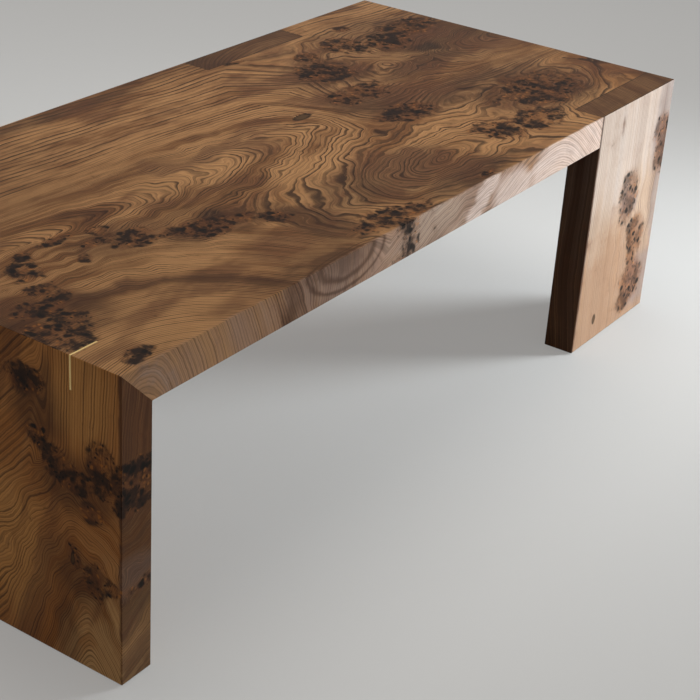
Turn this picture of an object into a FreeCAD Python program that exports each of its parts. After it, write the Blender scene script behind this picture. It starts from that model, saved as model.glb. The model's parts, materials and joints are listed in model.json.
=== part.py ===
"""Low table in thick burr elm boards: a mitred waterfall end, and two plank legs let into the slab's edges.

Frame, in millimetres: the origin is on the floor under the middle of the slab, +X runs along the
slab away from the waterfall end, +Y runs across it to the back and +Z is up.
"""

import FreeCAD
import Part
import math
import os

# Overall size
length = 1200.0
width = 550.0
height = 365.0

# Boards: one thickness throughout
board_thickness = 45.0
leg_width = 225.0
back_leg_setback = 228.0  # from the slab's far end to the back leg
edge_radius = 1.0  # eased arrises

# Brass feather keys let into saw kerfs across the mitre
key_count = 3
key_inset = 65.0  # from each long edge to the outer keys
key_leg = 38.0  # length shown on the slab and on the end panel
key_thickness = 2.2
kerf_clearance = 0.05

# Loose tenons: flat, round-edged strips glued half in each board
mitre_tenon_thickness = 8.0
mitre_tenon_width = 22.0
mitre_tenon_length = 40.0
mitre_tenon_cover = 8.0  # wood left between a tenon's end and the face outside it
mitre_tenons_per_bay = 2
leg_tenon_thickness = 10.0
leg_tenon_width = 24.0
leg_tenon_length = 50.0
leg_tenon_count = 3  # along each leg's broad face
mortise_clearance = 0.1
mortise_end_gap = 0.5
mortise_land = 8.0  # wood left between neighbouring mortises in a leg

# Felt glides, let into the feet
glide_diameter = 22.0
glide_thickness = 3.0
glide_recess = 1.5
glide_clearance = 0.25
glide_end_margin = 40.0  # from a foot's end to the middle of its outer glide
panel_glide_count = 3
leg_glide_count = 2

# Planes and lines that the pieces share
x_near = -length / 2
x_far = length / 2
y_front = -width / 2
y_back = width / 2
z_foot = glide_thickness - glide_recess
z_under = height - board_thickness
z_middle = height - board_thickness / 2
x_panel_inner = x_near + board_thickness
y_front_leg_inner = y_front + board_thickness
y_back_leg_inner = y_back - board_thickness
x_front_leg = x_far - leg_width
x_back_leg_far = x_far - back_leg_setback
x_back_leg = x_back_leg_far - leg_width
cut_margin = board_thickness  # how far a cutting tool reaches past the work

Y_AXIS = FreeCAD.Vector(0, 1, 0)
Z_AXIS = FreeCAD.Vector(0, 0, 1)
QUARTER_TURN = 90.0
MITRE_ANGLE = 45.0


def block(x0, x1, y0, y1, z0, z1):
    """A box between two corners."""
    return Part.makeBox(x1 - x0, y1 - y0, z1 - z0, FreeCAD.Vector(x0, y0, z0))


def spread(first, last, count):
    """Evenly spaced places from first to last; one alone goes in the middle."""
    if count == 1:
        return [(first + last) / 2]
    return [first + (last - first) * i / (count - 1) for i in range(count)]


def edges_where(shape, test):
    """The shape's edges whose ends both pass a test of their point."""
    return [e for e in shape.Edges if all(test(v.Point) for v in e.Vertexes)]


def near(a, b):
    """True where two places are the same."""
    return abs(a - b) < 1e-6


def is_upright(edge):
    """True for a straight vertical edge."""
    ends = [v.Point for v in edge.Vertexes]
    return len(ends) == 2 and near(ends[0].x, ends[1].x) and near(ends[0].y, ends[1].y)


def outer_envelope():
    """The whole table's outside, with every upper and upright arris eased by the same radius."""
    whole = block(x_near, x_far, y_front, y_back, z_foot, height)
    eased = edges_where(whole, lambda p: near(p.z, height)) + [e for e in whole.Edges if is_upright(e)]
    return whole.makeFillet(edge_radius, eased)


def eased_post(x0, x1, y0, y1):
    """A board standing from its foot to the slab's underside, its arrises and foot eased."""
    post = block(x0, x1, y0, y1, z_foot, z_under)
    foot = edges_where(post, lambda p: near(p.z, z_foot))
    return post.makeFillet(edge_radius, [e for e in post.Edges if is_upright(e)] + foot)


def across_the_width(points):
    """A prism of an outline in the XZ plane, as wide as the table and a little more."""
    corners = [FreeCAD.Vector(x, y_front - cut_margin, z) for x, z in points]
    outline = Part.makePolygon(corners + corners[:1])
    return Part.Face(outline).extrude(Y_AXIS * (width + 2 * cut_margin))


def below_mitre():
    """Everything on the end panel's side of the mitre plane, down to the slab's underside."""
    return across_the_width(
        [
            (x_near - cut_margin, height + cut_margin),
            (x_panel_inner, z_under),
            (x_near - cut_margin, z_under),
        ]
    )


def loose_tenon(thickness, across, along, allowance=0.0, end_gap=0.0):
    """A round-edged flat strip about the origin, along Z and wide along Y; allowances make a mortise."""
    half_long = along / 2 + end_gap
    radius = thickness / 2 + allowance
    flat = across / 2 + allowance - radius
    low, high = -flat, flat
    outline = Part.Wire(
        [
            Part.LineSegment(FreeCAD.Vector(radius, low, 0), FreeCAD.Vector(radius, high, 0)).toShape(),
            Part.Arc(
                FreeCAD.Vector(radius, high, 0),
                FreeCAD.Vector(0, high + radius, 0),
                FreeCAD.Vector(-radius, high, 0),
            ).toShape(),
            Part.LineSegment(FreeCAD.Vector(-radius, high, 0), FreeCAD.Vector(-radius, low, 0)).toShape(),
            Part.Arc(
                FreeCAD.Vector(-radius, low, 0),
                FreeCAD.Vector(0, low - radius, 0),
                FreeCAD.Vector(radius, low, 0),
            ).toShape(),
        ]
    )
    strip = Part.Face(outline).extrude(Z_AXIS * (2 * half_long))
    strip.translate(Z_AXIS * -half_long)
    return strip


def set_in_mitre(strip, y):
    """Stands a strip square to the mitre plane, at one place across the table."""
    reach = (mitre_tenon_length + mitre_tenon_thickness) / 2 / math.sqrt(2)
    depth = mitre_tenon_cover + reach
    strip.rotate(FreeCAD.Vector(), Y_AXIS, MITRE_ANGLE)
    strip.translate(FreeCAD.Vector(x_near + depth, y, height - depth))
    return strip


def set_across(strip, x, y):
    """Lays a strip flat along Y, half of it each side of a leg's broad face."""
    strip.rotate(FreeCAD.Vector(), Y_AXIS, QUARTER_TURN)
    strip.rotate(FreeCAD.Vector(), Z_AXIS, QUARTER_TURN)
    strip.translate(FreeCAD.Vector(x, y, z_middle))
    return strip


def set_along(strip, x, y):
    """Lays a strip flat along X, half of it each side of a leg's narrow edge."""
    strip.rotate(FreeCAD.Vector(), Y_AXIS, QUARTER_TURN)
    strip.translate(FreeCAD.Vector(x, y, z_middle))
    return strip


def key_places():
    """Where the brass keys cross the mitre."""
    return spread(y_front + key_inset, y_back - key_inset, key_count)


def mitre_tenon_places():
    """Two tenons outside the keys, and the rest evenly between neighbouring keys."""
    keys = key_places()
    places = [y_front + key_inset / 2]
    for a, b in zip(keys, keys[1:]):
        places += spread(a, b, mitre_tenons_per_bay + 2)[1:-1]
    return places + [y_back - key_inset / 2]


def key_plate(y, allowance=0.0):
    """A three-cornered plate over the mitre's outer corner; an allowance makes its kerf."""
    reach = key_leg + allowance
    half = key_thickness / 2 + allowance
    corners = [
        FreeCAD.Vector(x_near - cut_margin, y - half, height + cut_margin),
        FreeCAD.Vector(x_near + reach + cut_margin, y - half, height + cut_margin),
        FreeCAD.Vector(x_near - cut_margin, y - half, height - reach - cut_margin),
    ]
    outline = Part.makePolygon(corners + corners[:1])
    return Part.Face(outline).extrude(Y_AXIS * (2 * half))


def glide(x, y, allowance=0.0):
    """A felt disc under a foot; an allowance makes its recess."""
    return Part.makeCylinder(glide_diameter / 2 + allowance, glide_thickness, FreeCAD.Vector(x, y, 0))


def leg_joint(x0, x1, y_inner, free_edges):
    """How a plank leg's tenons are set: a setting function and its place, by node suffix."""
    end_mortise = leg_tenon_length / 2 + mortise_end_gap
    margin = end_mortise + mortise_land + leg_tenon_width / 2 + mortise_clearance
    placed = {}
    for i, x in enumerate(spread(x0 + margin, x1 - margin, leg_tenon_count), 1):
        placed[f"tenon_{i}"] = (set_across, x, y_inner)
    y_middle = (y_inner + (y_front if y_inner < 0 else y_back)) / 2
    for i, x in enumerate([x for x in (x0, x1) if x not in free_edges], 1):
        placed[f"end_tenon_{i}"] = (set_along, x, y_middle)
    return placed


def glide_places():
    """Where the glides sit, by the board that they are let into."""

    def along_foot(first, last, count):
        return spread(first + glide_end_margin, last - glide_end_margin, count)

    panel_x = (x_near + x_panel_inner) / 2
    front_y = (y_front + y_front_leg_inner) / 2
    back_y = (y_back + y_back_leg_inner) / 2
    return {
        "end_panel": [(panel_x, y) for y in along_foot(y_front, y_back, panel_glide_count)],
        "front_leg": [(x, front_y) for x in along_foot(x_front_leg, x_far, leg_glide_count)],
        "back_leg": [(x, back_y) for x in along_foot(x_back_leg, x_back_leg_far, leg_glide_count)],
    }


def slab_blank():
    """The slab: a board with its arrises eased, a mitred end and two notches for the legs."""
    slab = block(x_near, x_far, y_front, y_back, z_under, height)
    slab = slab.makeFillet(edge_radius, slab.Edges)
    low, high = z_under - cut_margin, height + cut_margin
    front_notch = block(x_front_leg, x_far + cut_margin, y_front - cut_margin, y_front_leg_inner, low, high)
    back_notch = block(x_back_leg, x_back_leg_far, y_back_leg_inner, y_back + cut_margin, low, high)
    return slab.cut(below_mitre()).cut(front_notch).cut(back_notch)


def panel_blank(envelope):
    """The end panel: a standing board whose top meets the slab in a mitre."""
    corner = block(x_near, x_panel_inner, y_front, y_back, z_under, height)
    head = envelope.common(corner).common(below_mitre())
    return eased_post(x_near, x_panel_inner, y_front, y_back).fuse(head).removeSplitter()


def leg_blank(envelope, x0, x1, y0, y1):
    """A plank leg whose end shows in the slab's top: eased below the slab, square where it is let in."""
    head = envelope.common(block(x0, x1, y0, y1, z_under, height))
    return eased_post(x0, x1, y0, y1).fuse(head).removeSplitter()


def build():
    """Every piece by its node name."""
    envelope = outer_envelope()
    pieces = {
        "top_slab": slab_blank(),
        "end_panel": panel_blank(envelope),
        "front_leg": leg_blank(envelope, x_front_leg, x_far, y_front, y_front_leg_inner),
        "back_leg": leg_blank(envelope, x_back_leg, x_back_leg_far, y_back_leg_inner, y_back),
    }

    def let_in(board, tool):
        pieces[board] = pieces[board].cut(tool)

    for i, y in enumerate(key_places(), 1):
        kerf = key_plate(y, kerf_clearance)
        let_in("top_slab", kerf)
        let_in("end_panel", kerf)
        pieces[f"mitre_key_{i}"] = key_plate(y).common(envelope)

    mitre_size = (mitre_tenon_thickness, mitre_tenon_width, mitre_tenon_length)
    for i, y in enumerate(mitre_tenon_places(), 1):
        mortise = set_in_mitre(loose_tenon(*mitre_size, mortise_clearance, mortise_end_gap), y)
        let_in("top_slab", mortise)
        let_in("end_panel", mortise)
        pieces[f"mitre_tenon_{i}"] = set_in_mitre(loose_tenon(*mitre_size), y)

    leg_size = (leg_tenon_thickness, leg_tenon_width, leg_tenon_length)
    joints = {
        "front_leg": leg_joint(x_front_leg, x_far, y_front_leg_inner, [x_far]),
        "back_leg": leg_joint(x_back_leg, x_back_leg_far, y_back_leg_inner, []),
    }
    for leg, placed in joints.items():
        for suffix, (setting, x, y) in placed.items():
            mortise = setting(loose_tenon(*leg_size, mortise_clearance, mortise_end_gap), x, y)
            let_in("top_slab", mortise)
            let_in(leg, mortise)
            pieces[f"{leg}_{suffix}"] = setting(loose_tenon(*leg_size), x, y)

    for board, places in glide_places().items():
        for i, (x, y) in enumerate(places, 1):
            let_in(board, glide(x, y, glide_clearance))
            pieces[f"{board}_glide_{i}"] = glide(x, y)
    return pieces


def main():
    os.makedirs("parts", exist_ok=True)
    for name, shape in build().items():
        solids = shape.Solids
        if len(solids) != 1 or not shape.isValid():
            raise ValueError(f"{name}: {len(solids)} solids, valid {shape.isValid()}")
        solids[0].exportStep(f"parts/{name}.step")
        box = shape.BoundBox
        print(f"{name}: {box.XLength:.1f} x {box.YLength:.1f} x {box.ZLength:.1f} mm")


main()
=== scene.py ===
import json
import math

import bpy
from mathutils import Euler, Matrix, Vector


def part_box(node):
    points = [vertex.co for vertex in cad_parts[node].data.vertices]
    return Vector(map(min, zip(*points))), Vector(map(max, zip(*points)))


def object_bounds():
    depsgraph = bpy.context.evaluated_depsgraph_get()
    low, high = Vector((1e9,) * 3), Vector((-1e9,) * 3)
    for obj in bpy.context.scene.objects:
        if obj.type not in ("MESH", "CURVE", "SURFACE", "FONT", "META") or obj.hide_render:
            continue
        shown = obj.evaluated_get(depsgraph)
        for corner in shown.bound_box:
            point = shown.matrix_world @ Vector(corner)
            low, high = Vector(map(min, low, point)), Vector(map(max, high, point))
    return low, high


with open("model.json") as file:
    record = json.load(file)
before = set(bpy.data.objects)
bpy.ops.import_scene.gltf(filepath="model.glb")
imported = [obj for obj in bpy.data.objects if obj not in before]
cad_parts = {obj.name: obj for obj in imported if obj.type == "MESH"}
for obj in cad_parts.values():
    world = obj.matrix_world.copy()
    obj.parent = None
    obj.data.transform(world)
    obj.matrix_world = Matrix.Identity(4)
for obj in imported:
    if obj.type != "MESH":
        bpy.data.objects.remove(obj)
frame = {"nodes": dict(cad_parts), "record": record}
cad_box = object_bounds()
nodes = frame["nodes"]

# The table's size in metres, from its CAD pieces
TABLE_LOW, TABLE_HIGH = cad_box
TOP_Z = TABLE_HIGH[2]
NEAR_X = TABLE_LOW[0]
FRONT_Y, BACK_Y = TABLE_LOW[1], TABLE_HIGH[1]
FRONT_LEG_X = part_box("front_leg")[0].x
BACK_LEG_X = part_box("back_leg")[0].x
MM = 0.001


# Node building
class Num:
    """A number that varies over a surface. Arithmetic on it adds shader nodes."""

    def __init__(self, net, socket):
        self.net = net
        self.socket = socket

    def __add__(self, other):
        return self.net.math("ADD", self, other)

    def __sub__(self, other):
        return self.net.math("SUBTRACT", self, other)

    def __rsub__(self, other):
        return self.net.math("SUBTRACT", other, self)

    def __mul__(self, other):
        return self.net.math("MULTIPLY", self, other)

    __radd__ = __add__
    __rmul__ = __mul__


class Net:
    """One material's shader nodes."""

    def __init__(self, name):
        self.material = bpy.data.materials.new(name)
        self.material.use_nodes = True
        self.tree = self.material.node_tree
        self.shader = self.tree.nodes["Principled BSDF"]
        self.place = self.add("ShaderNodeTexCoord").outputs["Object"]

    def add(self, kind, **settings):
        node = self.tree.nodes.new(kind)
        for key, value in settings.items():
            setattr(node, key, value)
        return node

    def put(self, socket, value):
        """Links a varying value to a socket, or sets a constant on it."""
        if isinstance(value, Num):
            value = value.socket
        if isinstance(value, bpy.types.NodeSocket):
            self.tree.links.new(value, socket)
        else:
            socket.default_value = value

    def math(self, operation, *values):
        node = self.add("ShaderNodeMath", operation=operation)
        for socket, value in zip(node.inputs, values):
            self.put(socket, value)
        return Num(self, node.outputs[0])

    def vector(self, operation, *values):
        node = self.add("ShaderNodeVectorMath", operation=operation)
        for socket, value in zip(node.inputs, values):
            self.put(socket, value)
        return node.outputs[0]

    def split(self, vector):
        node = self.add("ShaderNodeSeparateXYZ")
        self.put(node.inputs[0], vector)
        return [Num(self, out) for out in node.outputs]

    def join(self, x, y, z):
        node = self.add("ShaderNodeCombineXYZ")
        for socket, value in zip(node.inputs, (x, y, z)):
            self.put(socket, value)
        return node.outputs[0]

    def noise_node(self, at, scale, detail, roughness):
        node = self.add("ShaderNodeTexNoise")
        self.put(node.inputs["Vector"], at)
        node.inputs["Scale"].default_value = scale
        node.inputs["Detail"].default_value = detail
        node.inputs["Roughness"].default_value = roughness
        return node

    def noise(self, at, scale, detail=2.0, roughness=0.5):
        return Num(self, self.noise_node(at, scale, detail, roughness).outputs["Fac"])

    def cells(self, at, scale):
        """Distance to the nearest of many scattered points, and a random number for that point."""
        node = self.add("ShaderNodeTexVoronoi")
        self.put(node.inputs["Vector"], at)
        node.inputs["Scale"].default_value = scale
        return Num(self, node.outputs["Distance"]), self.split(node.outputs["Color"])[0]

    def warp(self, at, scale, amount, detail=1.0):
        """Places pushed about by noise, by up to about half the amount."""
        push = self.noise_node(at, scale, detail, 0.5).outputs["Color"]
        push = self.vector("SUBTRACT", push, (0.5, 0.5, 0.5))
        node = self.add("ShaderNodeVectorMath", operation="SCALE")
        self.put(node.inputs[0], push)
        self.put(node.inputs["Scale"], amount)
        return self.vector("ADD", node.outputs[0], at)

    def cone(self, at, centre, radii):
        """1 at a centre, falling straight to 0 at an ellipsoid round it."""
        node = self.add("ShaderNodeTexGradient", gradient_type="SPHERICAL")
        node.texture_mapping.vector_type = "POINT"
        node.texture_mapping.scale = [1 / r for r in radii]
        node.texture_mapping.translation = [-c / r for c, r in zip(centre, radii)]
        self.put(node.inputs[0], at)
        return Num(self, node.outputs["Fac"])

    def step(self, value, start, end):
        """0 before start and 1 after end, smooth between."""
        node = self.add("ShaderNodeMapRange", interpolation_type="SMOOTHSTEP")
        self.put(node.inputs["Value"], value)
        node.inputs["From Min"].default_value = start
        node.inputs["From Max"].default_value = end
        return Num(self, node.outputs["Result"])

    def ramp(self, value, stops):
        """Colours along a value, from a list of positions and colours."""
        node = self.add("ShaderNodeValToRGB")
        self.put(node.inputs[0], value)
        elements = node.color_ramp.elements
        while len(elements) < len(stops):
            elements.new(0.5)
        for element, (position, colour) in zip(elements, stops):
            element.position = position
            element.color = (*colour, 1.0)
        return node.outputs["Color"]

    def mix(self, amount, first, second):
        """The first colour, covered by the second as far as the amount says."""
        node = self.add("ShaderNodeMix", data_type="RGBA")
        self.put(node.inputs["Factor"], amount)
        for name, value in (("A", first), ("B", second)):
            socket = next(s for s in node.inputs if s.name == name and s.type == "RGBA")
            self.put(socket, (*value, 1.0) if isinstance(value, tuple) else value)
        return next(s for s in node.outputs if s.type == "RGBA")

    def bump(self, height, strength, distance):
        node = self.add("ShaderNodeBump")
        node.inputs["Strength"].default_value = strength
        node.inputs["Distance"].default_value = distance
        self.put(node.inputs["Height"], height)
        self.put(self.shader.inputs["Normal"], node.outputs[0])


# Elm: colours of the ring tones, burrs and broad stains, and of a painted sheen; STAIN also serves as
# painted shade on some edges
PALE = (0.460, 0.236, 0.094)
HONEY = (0.235, 0.102, 0.034)
BROWN = (0.096, 0.036, 0.012)
LINE = (0.020, 0.008, 0.004)
STAIN = (0.050, 0.019, 0.008)
UMBER = (0.120, 0.064, 0.030)
OLIVE = (0.150, 0.080, 0.028)
CREAM = (0.470, 0.355, 0.270)
# Painted sheen: a pale cool colour that stands for light reflected off the front leg's top
PAINTED_SHEEN_FROST = (0.560, 0.490, 0.450)
DUSK = (0.200, 0.172, 0.172)
ROSE = (0.360, 0.235, 0.180)
STRAW = (0.620, 0.400, 0.185)
SAPWOOD = (0.620, 0.480, 0.410)
BURR = (0.160, 0.058, 0.021)
AMBER = (0.400, 0.145, 0.028)
OCHRE = (0.560, 0.280, 0.090)
RUSSET = (0.120, 0.044, 0.018)
TAN = (0.330, 0.185, 0.105)
SMEAR = (0.012, 0.006, 0.004)
PIP = (0.005, 0.003, 0.002)

# How the grain is bent: each noise's scale and push in metres, and how much more it pushes wild grain
BROAD_SCALE, BROAD_PUSH = 4.0, 0.026
GRAIN_WARPS = [(19.0, 0.003, 0.032), (60.0, 0.0010, 0.0026), (190.0, 0.0006, 0.0006)]
RING_TONES = [(0.35, BROWN), (0.45, HONEY), (0.55, PALE), (0.64, HONEY), (0.74, OLIVE)]
# Cells to the metre of the burrs' pips and of their finer specks
PIP_CELLS, SPECK_CELLS = 88.0, 180.0
# How strongly each layer covers what lies under it
OLIVE_CLOUDS = 0.40
# Strengths of the painted sheen's dark and light streaks
SHEEN_STREAKS_DARK, SHEEN_STREAKS_LIGHT = 0.54, 0.36
LINE_FAINT, LINE_EXTRA, FINE_LINES = 0.28, 0.60, 0.30
FIBRE_DARK, FIBRE_LIGHT = 0.45, 0.30
STREAK = 0.70
BURR_HALO, BURR_HEART, BURR_GLINTS, BURR_PIPS = 0.36, 0.20, 0.50, 0.96
KNOT_RIM, KNOT_HEART = 0.90, 0.35
END_GRAIN, GLUE_LINE = 0.66, 0.8
# Distances from a joint's side, in metres, at which its glue line begins and at which it is full
GLUE_FADE = (0.0022, 0.0006)
# Pores to the metre across and along the grain, and the strength and depth in metres of their bump
PORES_ACROSS, PORES_ALONG = 420.0, 24.0
PORE_BUMP, PORE_DEPTH = 0.12, 0.0006
# Roughness of the oil finish, and how much the fibres and the burrs add
OIL_ROUGHNESS, FIBRE_ROUGHNESS, BURR_ROUGHNESS = 0.28, 0.12, 0.06
OIL_SPECULAR = 0.08


def cover(net, at, spots):
    """1 at the centre of each spot, falling to 0 at its radii; where spots overlap, the higher counts."""
    total = None
    for centre, radii in spots:
        one = net.cone(at, centre, radii)
        total = one if total is None else net.math("MAXIMUM", total, one)
    return total


def grain_place(net, wild):
    """Places bent by noise: straight grain lies calm, and wild grain wavers."""
    unrest = net.step(cover(net, net.place, wild), 0.0, 0.55)
    at = net.warp(net.place, BROAD_SCALE, BROAD_PUSH)
    for scale, calm, extra in GRAIN_WARPS:
        at = net.warp(at, scale, unrest * extra + calm)
    return at


def ring_noise(net, grain, per_ring, per_metre, detail, roughness):
    """Noise drawn out along the rings; grain is the ring count and the place along x and y."""
    ring, x, y = grain
    return net.noise(net.join(ring * per_ring, x * per_metre, y * per_metre), 1.0, detail, roughness)


class Burrs:
    """Ragged burr patches: a warm brown halo, amber glints, cloudy dark smears and near-black pips."""

    def __init__(self, net, at, spots):
        self.net = net
        self.ragged = net.noise(net.place, 42.0, 3.0, 0.62)
        patch = cover(net, at, spots) + (self.ragged - 0.5) * 0.85
        self.halo = net.step(patch, -0.15, 0.65)
        self.heart = net.step(patch, 0.00, 0.60)
        self.place = net.warp(net.place, 60.0, 0.012, 2.0)
        self.pip_gap, self.pip_pick = net.cells(self.place, PIP_CELLS)
        self.speck_gap, self.speck_pick = net.cells(self.place, SPECK_CELLS)

    def swirl(self):
        """How far the rings wind round the pips."""
        return self.net.math("MINIMUM", self.pip_gap, 0.6) * self.heart

    def paint(self, colour, smears):
        """The colour with the burrs over it; smears is the strength of their dark smears."""
        net = self.net
        inside = net.step(self.heart, 0.10, 0.50)
        colour = net.mix(self.halo * BURR_HALO + self.heart * BURR_HEART, colour, BURR)
        glints = net.step(self.speck_gap, 0.50, 0.20) * net.step(self.speck_pick, 0.40, 0.20) * inside
        colour = net.mix(glints * BURR_GLINTS, colour, AMBER)
        cloud = net.noise(self.place, 46.0, 4.0, 0.66)
        smear = net.step(cloud + self.heart * 0.12, 0.50, 0.72) * net.step(self.heart, 0.08, 0.60)
        colour = net.mix(smear * smears, colour, SMEAR)
        pips = net.step(self.pip_gap, 0.54, 0.24) * net.step(self.pip_pick, 0.36, 0.52)
        specks = net.step(self.speck_gap, 0.46, 0.12) * net.step(self.speck_pick, 0.52, 0.74)
        return net.mix(net.math("MAXIMUM", pips, specks) * inside * BURR_PIPS, colour, PIP)


def ring_lines(net, colour, grain, tone, clear):
    """A thin dark line where each ring ends, some strong and some faint, with finer lines between."""
    ring = grain[0]
    late = net.math("FRACT", ring + (tone - 0.5) * 1.6)
    strong = net.step(ring_noise(net, grain, 0.9, 4.0, 2.0, 0.5), 0.40, 0.60)
    edge = net.step(late, 0.36, 0.84) * net.step(late, 1.0, 0.93)
    colour = net.mix(edge * (strong * LINE_EXTRA + LINE_FAINT) * clear, colour, LINE)
    fine = net.math("FRACT", ring * 2.6 + tone * 3.0)
    return net.mix(net.step(fine, 0.40, 0.92) * net.step(fine, 1.0, 0.94) * FINE_LINES, colour, LINE)


def inside_joint(net, joint):
    """Distance in metres from the nearest side of a joint's box, seen from above."""
    place = net.split(net.place)
    nearest = None
    for axis in (0, 1):
        for gap in (place[axis] - joint[0][axis], joint[1][axis] - place[axis]):
            nearest = gap if nearest is None else net.math("MINIMUM", nearest, gap)
    return nearest


def elm(
    name,
    rings,
    wild,
    burrs,
    knots,
    patches,
    end_axis,
    pales=(),
    streaks=(),
    joint=None,
    lines=1.0,
    smears=0.95,
):
    """Burr elm. rings(net, x, y, z, at) counts growth rings; wild, burrs and knots list centres and radii.

    patches are broad areas: a list of centres and radii, their colour and its strength. pales are given in
    the same way, but lie on the long grain alone and make its ring lines fainter. streaks are dark lines
    along one level of a cone: its centre and radii, the level and the half width. joint is a box whose
    sides are glue lines in end grain. lines is the strength of the ring lines, and smears that of the
    burrs' dark smears.
    """
    net = Net(name)
    at = grain_place(net, wild)
    burr = Burrs(net, at, burrs)
    knot = cover(net, net.warp(net.place, 40.0, 0.004), knots)
    x, y, z = net.split(at)
    ring = rings(net, x, y, z, at) + burr.swirl() * 1.2 + knot * 2.0
    grain = (ring, x, y)

    # Tones that follow the rings in broad and narrow bands, under olive clouds
    tone = ring_noise(net, grain, 0.11, 2.2, 5.0, 0.66)
    colour = net.ramp(tone, RING_TONES)
    tint = net.noise(at, 4.0, 3.0, 0.6)
    colour = net.mix(net.step(tint, 0.50, 0.74) * OLIVE_CLOUDS, colour, OLIVE)

    # Broad areas, whose uneven borders follow the clouds and the tones
    drift = (tint - 0.5) * 0.6 + (tone - 0.5) * 0.9 + (burr.ragged - 0.5) * 0.3
    for spots, area_colour, strength in patches:
        area = net.step(cover(net, at, spots) + drift, 0.08, 0.66)
        colour = net.mix(area * strength, colour, area_colour)

    # Painted sheen: fixed light and dark streaks across the rings, which stand for the wood's shimmer
    sheen_streaks = net.noise(net.join(ring * 0.015, x * 6.0, y * 15.0 + z * 4.0), 1.0, 3.0, 0.6)
    colour = net.mix(net.step(sheen_streaks, 0.51, 0.62) * SHEEN_STREAKS_DARK, colour, RUSSET)
    colour = net.mix(net.step(sheen_streaks, 0.47, 0.36) * SHEEN_STREAKS_LIGHT, colour, PALE)

    # Pale and dark areas of the long grain, some of them painted sheen, painted light and painted shade, in
    # which the ring lines are fainter
    normal = net.split(net.add("ShaderNodeNewGeometry").outputs["True Normal"])
    end = net.step(net.math("ABSOLUTE", normal[end_axis]), 0.80, 0.95)
    long_grain = (1.0 - end) * (tone * 1.2 + 0.25)
    clear = lines
    for spots, area_colour, strength in pales:
        area = net.step(cover(net, net.place, spots) + drift, 0.16, 0.52) * long_grain * strength
        colour = net.mix(area, colour, area_colour)
        clear = (1.0 - area * 0.68) * clear
    colour = ring_lines(net, colour, grain, tone, clear)

    # Fibres and pores run along the rings
    fibre = ring_noise(net, grain, 5.0, 30.0, 3.0, 0.65)
    colour = net.mix(net.step(fibre, 0.50, 0.78) * FIBRE_DARK, colour, LINE)
    colour = net.mix(net.step(fibre, 0.46, 0.24) * FIBRE_LIGHT, colour, PALE)
    for centre, radii, level, half_width in streaks:
        off = net.math("ABSOLUTE", net.cone(at, centre, radii) - level)
        streak = net.step(off + (burr.ragged - 0.5) * half_width, half_width, 0.0)
        colour = net.mix(streak * STREAK, colour, STAIN)

    colour = burr.paint(colour, smears)
    colour = net.mix(net.step(knot, 0.02, 0.30) * KNOT_RIM, colour, LINE)
    colour = net.mix(net.step(knot, 0.30, 0.60) * KNOT_HEART, colour, OLIVE)

    # End grain takes more oil and is darker; a glue line shows round it where it is let into another board
    colour = net.mix(end * END_GRAIN, colour, STAIN)
    if joint:
        glue = net.step(inside_joint(net, joint), *GLUE_FADE)
        colour = net.mix(glue * end * GLUE_LINE, colour, PIP)

    # A satin oil finish over fine pores
    net.put(net.shader.inputs["Base Color"], colour)
    roughness = OIL_ROUGHNESS + fibre * FIBRE_ROUGHNESS + burr.heart * BURR_ROUGHNESS
    net.put(net.shader.inputs["Roughness"], roughness)
    net.shader.inputs["Specular IOR Level"].default_value = OIL_SPECULAR
    stretch = [PORES_ACROSS] * 3
    stretch[end_axis] = PORES_ALONG
    pores = net.noise(net.vector("MULTIPLY", net.place, stretch), 1.0, 2.0)
    net.bump(pores, PORE_BUMP, PORE_DEPTH)
    return net.material


# A reach in metres that takes a spot through a board's thickness
THROUGH = 0.2


def on_slab(along, across, z=TOP_Z):
    """A place given in mm from the waterfall end and from the back edge."""
    return (NEAR_X + along * MM, BACK_Y - across * MM, z)


def slab_spots(spots):
    """Spots on the slab, through its thickness: mm along and across, then reach along and across."""
    return [(on_slab(a, c), (ra * MM, rc * MM, THROUGH)) for a, c, ra, rc in spots]


# The slab's figure: mm from the waterfall end, mm from the back edge, reach along and across
SLAB_BURRS = slab_spots(
    [
        (180, 298, 34, 16),
        (130, 300, 20, 14),
        (210, 330, 26, 14),
        (285, 372, 26, 20),
        (375, 405, 24, 18),
        (50, 430, 40, 26),
        (15, 420, 24, 20),
        (90, 360, 26, 18),
        (236, 308, 22, 14),
        (245, 348, 40, 28),
        (175, 346, 18, 14),
        (322, 392, 56, 34),
        (395, 432, 26, 26),
        (100, 322, 34, 26),
        (60, 388, 60, 30),
        (25, 452, 46, 40),
        (45, 530, 30, 16),
        (490, 524, 95, 26),
        (492, 560, 48, 22),
        (685, 540, 26, 8),
        (852, 160, 60, 54),
        (890, 105, 26, 24),
        (975, 118, 50, 46),
        (1040, 150, 60, 44),
        (1130, 130, 80, 42),
        (1038, 68, 24, 14),
        (785, 250, 36, 34),
        (835, 250, 50, 40),
        (795, 342, 66, 36),
        (1015, 425, 110, 66),
        (830, 470, 50, 46),
        (900, 482, 80, 40),
        (800, 48, 26, 8),
    ]
)
SLAB_STAINS = slab_spots(
    [
        (1150, 200, 230, 150),
        (1060, 110, 200, 90),
        (850, 170, 110, 90),
        (800, 290, 110, 120),
        (1010, 420, 200, 110),
        (470, 20, 260, 24),
        (330, 540, 110, 50),
        (360, 400, 60, 60),
        (240, 340, 100, 46),
        (310, 392, 80, 40),
        (60, 420, 90, 70),
        (1010, 245, 190, 50),
        (415, 470, 55, 110),
        (20, 400, 80, 80),
        (690, 530, 110, 40),
        (960, 348, 260, 60),
    ]
)
# How far, in metres, a hill of the ring count reaches through the slab
HILL_DEPTH = 0.6
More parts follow.
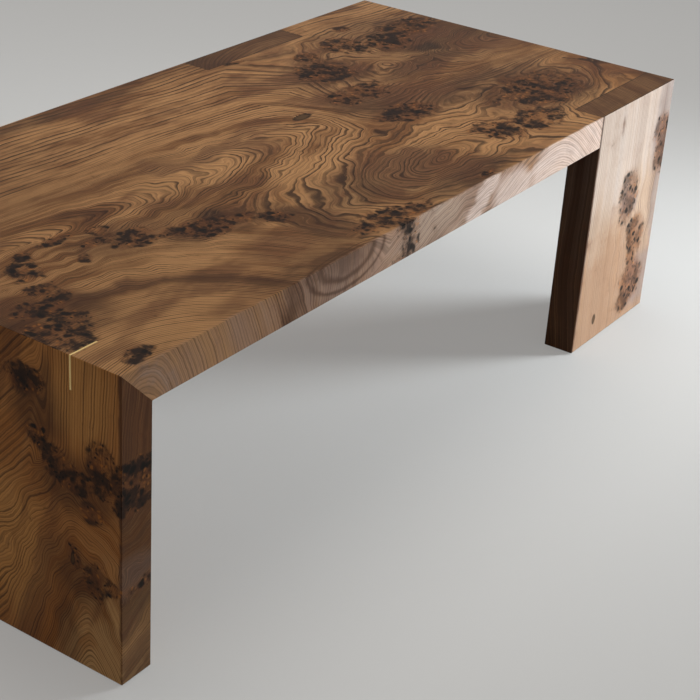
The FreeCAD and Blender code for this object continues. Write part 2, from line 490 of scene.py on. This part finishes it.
# A fan of rings round the front near corner, and an eye in the front edge
FAN_CENTRE, FAN_RADII = on_slab(30, 640), (400 * MM, 380 * MM, HILL_DEPTH)
FAN_RINGS = 112.0
EYE_CENTRE, EYE_RADII = on_slab(365, 560), (95 * MM, 50 * MM, 55 * MM)
EYE_RINGS = 9.0
EYE_STREAK_CENTRE, EYE_STREAK_RADII = on_slab(365, 562), (110 * MM, 26 * MM, 60 * MM)
SLAB_STREAKS = [
    (FAN_CENTRE, FAN_RADII, 0.36, 0.050),
    (EYE_STREAK_CENTRE, EYE_STREAK_RADII, 0.30, 0.07),
    (EYE_STREAK_CENTRE, EYE_STREAK_RADII, 0.14, 0.05),
]
SLAB_KNOTS = slab_spots([(685, 254, 22, 9)])


def edge_spots(across, thin, spots):
    """Spots on the slab's front edge: mm along and down, then reach along and down.

    across is where they lie, just outside the edge, and thin is their reach into the slab, both in mm.
    """
    return [
        (on_slab(along, across, TOP_Z - down * MM), (reach * MM, thin * MM, tall * MM))
        for along, down, reach, tall in spots
    ]


SLAB_SAPWOOD = edge_spots(
    552,
    7,
    [
        (642, 40, 30, 26),
        (660, 22, 30, 26),
        (678, 6, 30, 26),
        (740, 30, 80, 36),
        (870, 24, 160, 60),
        (950, 24, 130, 60),
    ],
)
SLAB_EDGE = edge_spots(553, 8, [(520, 24, 620, 90)])
SLAB_NEAR_EDGE = edge_spots(553, 8, [(90, 24, 300, 90)])
SLAB_MIDDLE_EDGE = edge_spots(553, 8, [(540, 24, 130, 60)])
SLAB_EYE_STAIN = edge_spots(554, 8, [(365, 0, 90, 60)])
# Pale areas of the top, mostly paler wood; the one near the far end is a painted highlight
SLAB_PALE_AND_HIGHLIGHT = slab_spots(
    [
        (110, 510, 240, 140),
        (250, 430, 110, 50),
        (500, 262, 200, 70),
        (560, 370, 140, 60),
        (945, 207, 40, 24),
        (925, 128, 34, 26),
        # Painted highlight: a soft pale glow near the far end of the top
        (1110, 284, 120, 22),
    ]
)
SLAB_RUSSET = slab_spots([(335, 490, 90, 60), (120, 478, 70, 24), (215, 532, 90, 26)])
SLAB_BROWN = slab_spots([(120, 130, 420, 140), (1040, 230, 420, 300)])
SLAB_UMBER = slab_spots([(590, 450, 210, 85), (650, 520, 150, 50)])
SLAB_SMEARS = slab_spots(
    [
        (1130, 132, 95, 46),
        (850, 162, 48, 42),
        (1060, 455, 64, 32),
        (352, 378, 32, 24),
        (1062, 205, 44, 44),
    ]
)
SLAB_PATCHES = [
    (SLAB_PALE_AND_HIGHLIGHT, PALE, 0.96),
    (SLAB_BROWN, BROWN, 0.34),
    (SLAB_UMBER, UMBER, 0.66),
    (SLAB_RUSSET, RUSSET, 0.60),
    (SLAB_STAINS, STAIN, 0.74),
    (SLAB_SMEARS, SMEAR, 0.74),
]
SLAB_PALES = [
    (SLAB_EDGE, ROSE, 0.76),
    (SLAB_NEAR_EDGE, TAN, 0.50),
    (SLAB_MIDDLE_EDGE, CREAM, 0.70),
    (SLAB_SAPWOOD, SAPWOOD, 0.92),
    (SLAB_EYE_STAIN, STAIN, 0.70),
]
SLAB_WILD = slab_spots(
    [
        (470, 290, 330, 130),
        (640, 430, 330, 160),
        (1010, 200, 270, 180),
        (1000, 440, 240, 110),
        (200, 360, 260, 120),
    ]
)
# Hills of the ring count: place and reach as above, then how many rings high
SLAB_HILLS = [
    (690, 465, 335, 178, 17.0),
    (690, 468, 240, 58, 7.0),
    (945, 205, 90, 75, 10.0),
    (850, 165, 170, 120, 11.0),
    (800, 270, 130, 95, 11.0),
    (1010, 428, 170, 100, 10.0),
    (870, 570, 190, 110, 10.0),
    (1150, 230, 160, 110, 3.0),
]
# Rings to the metre: across the straight grain of the back, along the slab, down through it, in the tongue
BACK_RINGS, ALONG_RINGS, DEPTH_RINGS, TONGUE_RINGS = 112.0, 7.0, 110.0, 60.0
TONGUE_Y = BACK_Y - 270 * MM
SADDLE_X = NEAR_X + 695 * MM
# Metres behind and before the tongue's middle at which it begins and at which it is full
TONGUE_BEHIND, TONGUE_BEFORE = (0.110, 0.010), (-0.115, -0.005)
# Metres over which the straight grain of the back sets in
BACK_BLEND = 0.03


def slab_rings(net, x, y, z, at):
    """Straight grain at the back, a tongue that points away from the mitre, and hills with closed rings."""
    rise = y - TONGUE_Y
    tongue = net.step(rise, *TONGUE_BEHIND) * net.step(rise, *TONGUE_BEFORE)
    count = net.math("SMOOTH_MAX", rise, 0.0, BACK_BLEND) * BACK_RINGS
    count = count + x * ALONG_RINGS - z * DEPTH_RINGS + (x - SADDLE_X) * tongue * TONGUE_RINGS
    for along, across, reach_along, reach_across, high in SLAB_HILLS:
        radii = (reach_along * MM, reach_across * MM, HILL_DEPTH)
        count = count + net.cone(at, on_slab(along, across), radii) * high
    eye = net.cone(at, EYE_CENTRE, EYE_RADII)
    return count + eye * EYE_RINGS + net.cone(at, FAN_CENTRE, FAN_RADII) * FAN_RINGS


def on_panel(across, down):
    """A place on the end panel's outer face, in mm from its front edge and from its top."""
    return (NEAR_X, FRONT_Y + across * MM, TOP_Z - down * MM)


def panel_spots(spots):
    """Spots on the end panel, through its thickness: mm across and down, then reach across and down."""
    return [(on_panel(a, d), (THROUGH, ra * MM, rd * MM)) for a, d, ra, rd in spots]


# The end panel's figure
PANEL_BURRS = panel_spots(
    [
        (132, 45, 34, 22),
        (112, 104, 20, 16),
        (90, 128, 22, 24),
        (60, 140, 36, 22),
        (25, 100, 26, 28),
        (20, 130, 26, 22),
        (36, 172, 20, 16),
        (-2, 112, 22, 22),
        (-4, 136, 20, 26),
        (66, 232, 12, 18),
        (34, 252, 26, 34),
        (12, 250, 24, 18),
        (300, 120, 60, 36),
        (370, 250, 40, 50),
        (470, 90, 50, 30),
    ]
)
PANEL_WILD = panel_spots([(70, 240, 150, 125), (330, 170, 130, 130)])
PANEL_KNOTS = panel_spots([(66, 234, 3, 9)])
PANEL_STAINS = panel_spots(
    [
        (110, 75, 60, 60),
        (60, 150, 90, 60),
        (60, 260, 60, 60),
        (330, 150, 120, 80),
        (100, 55, 14, 60),
        (78, 330, 26, 70),
    ]
)
PANEL_SMEARS = panel_spots(
    [
        (32, 252, 14, 30),
        (34, 184, 12, 12),
        (34, 116, 16, 22),
        (6, 122, 14, 20),
        (56, 150, 18, 12),
        (40, 162, 14, 12),
        (108, 114, 10, 14),
        (88, 142, 9, 12),
        (132, 52, 24, 20),
    ]
)
PANEL_AMBER = panel_spots([(150, 200, 1500, 1500)])
PANEL_OCHRE = panel_spots([(150, 250, 70, 120), (50, 40, 60, 90)])
PANEL_ARCH = panel_spots([(8, 410, 96, 240)])
# Painted shade, partly darker wood: the panel's front edge face and the strip of its outer face beside it
# made dark
PANEL_EDGE_SHADE_AND_DARK_WOOD = panel_spots([(-4, 180, 11, 900)])
PANEL_EDGE_WARM = panel_spots([(-4, 50, 11, 80), (-4, 330, 11, 90)])
PANEL_EDGE_ROSE = panel_spots([(-4, 232, 11, 46)])
PANEL_PATCHES = [
    (PANEL_AMBER, AMBER, 0.52),
    (PANEL_STAINS, STAIN, 0.66),
    (PANEL_OCHRE, OCHRE, 0.70),
    (PANEL_ARCH, STRAW, 0.75),
    (PANEL_SMEARS, SMEAR, 0.92),
]
PANEL_PALES = [
    (PANEL_EDGE_SHADE_AND_DARK_WOOD, STAIN, 1.0),
    (PANEL_EDGE_WARM, RUSSET, 0.45),
    (PANEL_EDGE_ROSE, ROSE, 0.20),
]
# Hills of the panel's ring count: mm across and down, reach across and down, then how many rings high
PANEL_HILLS = [
    (34, 420, 100, 160, 18.0),
    (52, 330, 115, 175, 14.0),
    (40, 250, 75, 70, 7.0),
]
# How far, in metres, a hill reaches through the panel
PANEL_HILL_DEPTH = 0.3
# Rings to the metre: in the fine upright grain, in the limbs of the arches, and through the thickness
FINE_RINGS, LIMB_RINGS, THICK_RINGS = 270.0, 110.0, 100.0
# The ring count of the fine grain at the front edge
FINE_START = 28.0
# The arches' crown: metres from the front edge at the top, lean forward per metre down, and roundness
CROWN_ACROSS, CROWN_LEAN, CROWN_BLEND = 0.087, 0.12, 0.03
# Metres from the front edge at which the limbs give way to fine grain again, and over how many metres
LIMB_END, LIMB_BLEND = 0.24, 0.05
# Metres below the top and behind the front edge at which the arches begin and at which they are full
ARCHES_BELOW, ARCHES_BEHIND = (0.105, 0.150), (0.090, 0.125)


def panel_rings(net, x, y, z, at):
    """Fine upright grain by the brass key, over arches that rise from the front foot."""
    across = y - FRONT_Y
    down = TOP_Z - z
    upright = FINE_START - across * FINE_RINGS
    off = across + down * CROWN_LEAN - CROWN_ACROSS
    limb = net.math("SMOOTH_MAX", off, 0.0 - off, CROWN_BLEND)
    beyond = net.math("SMOOTH_MAX", across - LIMB_END, 0.0, LIMB_BLEND)
    arched = (down - limb) * LIMB_RINGS - beyond * (FINE_RINGS - LIMB_RINGS)
    share = net.math("MAXIMUM", net.step(down, *ARCHES_BELOW), net.step(across, *ARCHES_BEHIND))
    count = upright + (arched - upright) * share + x * THICK_RINGS
    for along, deep, reach_across, reach_down, high in PANEL_HILLS:
        radii = (PANEL_HILL_DEPTH, reach_across * MM, reach_down * MM)
        count = count + net.cone(at, on_panel(along, deep), radii) * high
    return count


def leg_spots(x0, y0, spots):
    """Spots on a plank leg, through its thickness: mm across and down, then reach across and down."""
    return [((x0 + a * MM, y0, TOP_Z - d * MM), (ra * MM, THROUGH, rd * MM)) for a, d, ra, rd in spots]


def front_leg_spots(spots):
    return leg_spots(FRONT_LEG_X, FRONT_Y, spots)


def back_leg_spots(spots):
    return leg_spots(BACK_LEG_X, BACK_Y, spots)


def leg_rings(heart_x, heart_y, upward, outward):
    """Rings about an upright heart outside the plank, so that its faces show upright grain.

    upward and outward are the rings to the metre in height and away from the heart.
    """

    def rings(net, x, y, z, at):
        off_x = x - heart_x
        off_y = y - heart_y
        radius = net.math("SQRT", off_x * off_x + off_y * off_y)
        return radius * outward + z * upward

    return rings


# The legs' figure
FRONT_LEG_BURRS = front_leg_spots(
    [
        (116, 138, 32, 42),
        (126, 165, 34, 34),
        (160, 208, 26, 30),
        (172, 236, 30, 34),
        (162, 264, 24, 28),
        (158, 296, 36, 34),
        (180, 304, 40, 42),
        (152, 328, 30, 30),
        (204, 66, 36, 30),
        (216, 108, 34, 44),
    ]
)
FRONT_LEG_WILD = front_leg_spots([(150, 220, 90, 170)])
FRONT_LEG_KNOTS = front_leg_spots([(60, 330, 6, 10)])
# Partly painted light: a pale cream over most of the front leg, partly its paler wood and partly the strong
# light on its front face
FRONT_LEG_PALE_AND_PAINTED_LIGHT = front_leg_spots([(105, 150, 240, 700)])
# Painted sheen: the top of the front leg made paler and cooler
FRONT_LEG_PAINTED_SHEEN = front_leg_spots([(100, 20, 220, 190)])
FRONT_LEG_WARM = front_leg_spots([(100, 380, 260, 260)])
FRONT_LEG_SHADE = front_leg_spots([(168, 225, 36, 50), (170, 305, 54, 56), (212, 90, 34, 60)])
# Painted shade: the front leg's narrow side towards the waterfall end, and the strip of its face beside it,
# made dark
FRONT_LEG_EDGE_PAINTED_SHADE = front_leg_spots([(-4, 180, 11, 900)])
FRONT_LEG_DUSK = front_leg_spots(
    [(222, 60, 70, 150), (226, 170, 40, 120), (128, 165, 36, 36), (200, 310, 60, 70)]
)
FRONT_LEG_STAINS = front_leg_spots([(205, 50, 60, 120), (190, 290, 60, 90), (215, 330, 40, 90)])
FRONT_LEG_PATCHES = [(FRONT_LEG_STAINS, STAIN, 0.40)]
FRONT_LEG_PALES = [
    (FRONT_LEG_PALE_AND_PAINTED_LIGHT, CREAM, 0.86),
    (FRONT_LEG_PAINTED_SHEEN, PAINTED_SHEEN_FROST, 0.44),
    (FRONT_LEG_WARM, TAN, 0.86),
    (FRONT_LEG_DUSK, DUSK, 0.66),
    (FRONT_LEG_SHADE, BURR, 0.50),
    (FRONT_LEG_EDGE_PAINTED_SHADE, STAIN, 1.00),
]
BACK_LEG_BURRS = back_leg_spots([(70, 210, 30, 36), (150, 120, 26, 30)])
BACK_LEG_WILD = back_leg_spots([(110, 170, 90, 120)])
BACK_LEG_KNOTS = back_leg_spots([(180, 290, 7, 12)])
BACK_LEG_STAINS = back_leg_spots([(20, 60, 50, 160), (100, 230, 60, 70)])
BACK_LEG_PATCHES = [(BACK_LEG_STAINS, STAIN, 0.66)]


def brass():
    """Brass strip sanded flush with the wood, with fine scratches."""
    net = Net("brass_key")
    scratch = net.noise(net.vector("MULTIPLY", net.place, (60.0, 900.0, 60.0)), 1.0, 3.0, 0.6)
    tones = [(0.25, (0.62, 0.43, 0.17)), (0.75, (0.86, 0.67, 0.33))]
    net.put(net.shader.inputs["Base Color"], net.ramp(scratch, tones))
    net.shader.inputs["Metallic"].default_value = 1.0
    net.put(net.shader.inputs["Roughness"], 0.42 + scratch * 0.2)
    net.bump(scratch, 0.08, 0.0002)
    return net.material


def beech():
    """Pressed beech of the loose tenons, flecked along the grain."""
    net = Net("beech_tenon")
    fleck = net.noise(net.vector("MULTIPLY", net.place, (700.0, 700.0, 120.0)), 1.0, 3.0, 0.6)
    tones = [(0.30, (0.42, 0.26, 0.15)), (0.55, (0.60, 0.42, 0.27)), (0.8, (0.68, 0.50, 0.34))]
    net.put(net.shader.inputs["Base Color"], net.ramp(fleck, tones))
    net.shader.inputs["Roughness"].default_value = 0.62
    net.bump(fleck, 0.15, 0.0004)
    return net.material


def felt():
    """Dark wool felt of the glides."""
    net = Net("felt_glide")
    fluff = net.noise(net.place, 1400.0, 4.0, 0.7)
    tones = [(0.3, (0.02, 0.018, 0.016)), (0.7, (0.07, 0.062, 0.055))]
    net.put(net.shader.inputs["Base Color"], net.ramp(fluff, tones))
    net.shader.inputs["Roughness"].default_value = 0.95
    net.bump(fluff, 0.5, 0.0008)
    return net.material


# The axis along which each board's grain runs, and the finish of each material slot
SLAB_AXIS, UPRIGHT_AXIS = 0, 2
front_leg_rings = leg_rings(FRONT_LEG_X - 160 * MM, FRONT_Y + 150 * MM, upward=8.0, outward=260.0)
back_leg_rings = leg_rings(BACK_LEG_X + 140 * MM, BACK_Y - 190 * MM, upward=20.0, outward=170.0)
FINISHES = {
    "top_slab_elm": elm(
        "slab_elm",
        slab_rings,
        SLAB_WILD,
        SLAB_BURRS,
        SLAB_KNOTS,
        SLAB_PATCHES,
        SLAB_AXIS,
        pales=SLAB_PALES,
        streaks=SLAB_STREAKS,
    ),
    "end_panel_elm": elm(
        "panel_elm",
        panel_rings,
        PANEL_WILD,
        PANEL_BURRS,
        PANEL_KNOTS,
        PANEL_PATCHES,
        UPRIGHT_AXIS,
        pales=PANEL_PALES,
        lines=0.80,
        smears=0.90,
    ),
    "front_leg_elm": elm(
        "front_leg_elm",
        front_leg_rings,
        FRONT_LEG_WILD,
        FRONT_LEG_BURRS,
        FRONT_LEG_KNOTS,
        FRONT_LEG_PATCHES,
        UPRIGHT_AXIS,
        pales=FRONT_LEG_PALES,
        joint=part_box("front_leg"),
        smears=0.62,
    ),
    "back_leg_elm": elm(
        "back_leg_elm",
        back_leg_rings,
        BACK_LEG_WILD,
        BACK_LEG_BURRS,
        BACK_LEG_KNOTS,
        BACK_LEG_PATCHES,
        UPRIGHT_AXIS,
        joint=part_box("back_leg"),
    ),
    "brass": brass(),
    "beech": beech(),
    "felt": felt(),
}
for part in frame["record"]["subparts"]:
    mesh = nodes[part["node"]].data
    mesh.materials.clear()
    mesh.materials.append(FINISHES[part["material_slot"]])

# Floor and background: pale to the eye, also in reflections, with no more light on the table
FLOOR_SIZE = 40.0
FLOOR_COLOUR = (0.36, 0.355, 0.345, 1.0)
BACKGROUND_COLOUR = (1.0, 0.99, 0.97, 1.0)
FLOOR_ROUGHNESS = 0.8
FLOOR_GLOW = 0.24
BACKGROUND_SHOWN = 0.33
BACKGROUND_LIGHT = 0.27


def shown(tree, dark, bright):
    """A strength that is bright where it is seen, also in reflections, and dark as the light it casts."""
    path = tree.nodes.new("ShaderNodeLightPath")
    seen = path.outputs["Is Camera Ray"]
    for ray in ("Is Glossy Ray", "Is Transmission Ray"):
        either = tree.nodes.new("ShaderNodeMath")
        either.operation = "MAXIMUM"
        tree.links.new(seen, either.inputs[0])
        tree.links.new(path.outputs[ray], either.inputs[1])
        seen = either.outputs[0]
    strength = tree.nodes.new("ShaderNodeMapRange")
    tree.links.new(seen, strength.inputs["Value"])
    strength.inputs["To Min"].default_value = dark
    strength.inputs["To Max"].default_value = bright
    return strength.outputs["Result"]


bpy.ops.mesh.primitive_plane_add(size=FLOOR_SIZE)
floor = bpy.context.object
floor.name = "floor"
paint = bpy.data.materials.new("floor_paint")
paint.use_nodes = True
surface = paint.node_tree.nodes["Principled BSDF"]
surface.inputs["Base Color"].default_value = FLOOR_COLOUR
surface.inputs["Roughness"].default_value = FLOOR_ROUGHNESS
surface.inputs["Emission Color"].default_value = BACKGROUND_COLOUR
glow = shown(paint.node_tree, 0.0, FLOOR_GLOW)
paint.node_tree.links.new(glow, surface.inputs["Emission Strength"])
floor.data.materials.append(paint)

world = bpy.data.worlds.new("studio")
world.use_nodes = True
sky = world.node_tree.nodes["Background"]
sky.inputs["Color"].default_value = BACKGROUND_COLOUR
brightness = shown(world.node_tree, BACKGROUND_LIGHT, BACKGROUND_SHOWN)
world.node_tree.links.new(brightness, sky.inputs["Strength"])
bpy.context.scene.world = world


# Light
def soft_light(name, place, aim, size, watts, colour, spread=180.0, glints=True):
    """A round area lamp. spread is in degrees, and glints says whether reflections show the lamp."""
    data = bpy.data.lights.new(name, "AREA")
    data.spread = math.radians(spread)
    data.shape = "DISK"
    data.size = size
    data.energy = watts
    data.color = colour
    lamp = bpy.data.objects.new(name, data)
    lamp.location = place
    lamp.rotation_euler = (Vector(aim) - Vector(place)).to_track_quat("-Z", "Y").to_euler()
    lamp.visible_glossy = glints
    bpy.context.scene.collection.objects.link(lamp)


soft_light(
    "key",
    place=(1.90, -1.50, 0.65),
    aim=(0.58, -0.25, 0.16),
    size=0.8,
    watts=13,
    colour=(0.88, 0.95, 1.0),
    spread=58.0,
    glints=False,
)
soft_light(
    "fill",
    place=(-2.3, -0.15, 0.42),
    aim=(-0.6, -0.1, 0.18),
    size=0.9,
    watts=0.32,
    colour=(1.0, 0.72, 0.38),
    spread=60.0,
    glints=False,
)
soft_light(
    "overhead",
    place=(0.4, 0.2, 2.6),
    aim=(0.0, 0.0, 0.3),
    size=2.0,
    watts=30,
    colour=(1.0, 0.98, 0.95),
)

# Camera, placed from the table's corners in the photograph
CAMERA_PLACE = (-1.6377, -1.2046, 1.1298)
CAMERA_HEADING, CAMERA_DIP, CAMERA_ROLL = 33.15, 27.61, 3.92
CAMERA_LENS, CAMERA_SENSOR = 86.97, 36.0
camera_data = bpy.data.cameras.new("camera")
camera_data.lens = CAMERA_LENS
camera_data.sensor_width = CAMERA_SENSOR
camera = bpy.data.objects.new("camera", camera_data)
level = Euler((math.radians(90 - CAMERA_DIP), 0.0, math.radians(CAMERA_HEADING - 90))).to_matrix()
turn = level @ Matrix.Rotation(math.radians(CAMERA_ROLL), 3, "Z")
camera.matrix_world = Matrix.Translation(CAMERA_PLACE) @ turn.to_4x4()
bpy.context.scene.collection.objects.link(camera)
bpy.context.scene.camera = camera
bpy.context.scene.view_settings.view_transform = "Standard"
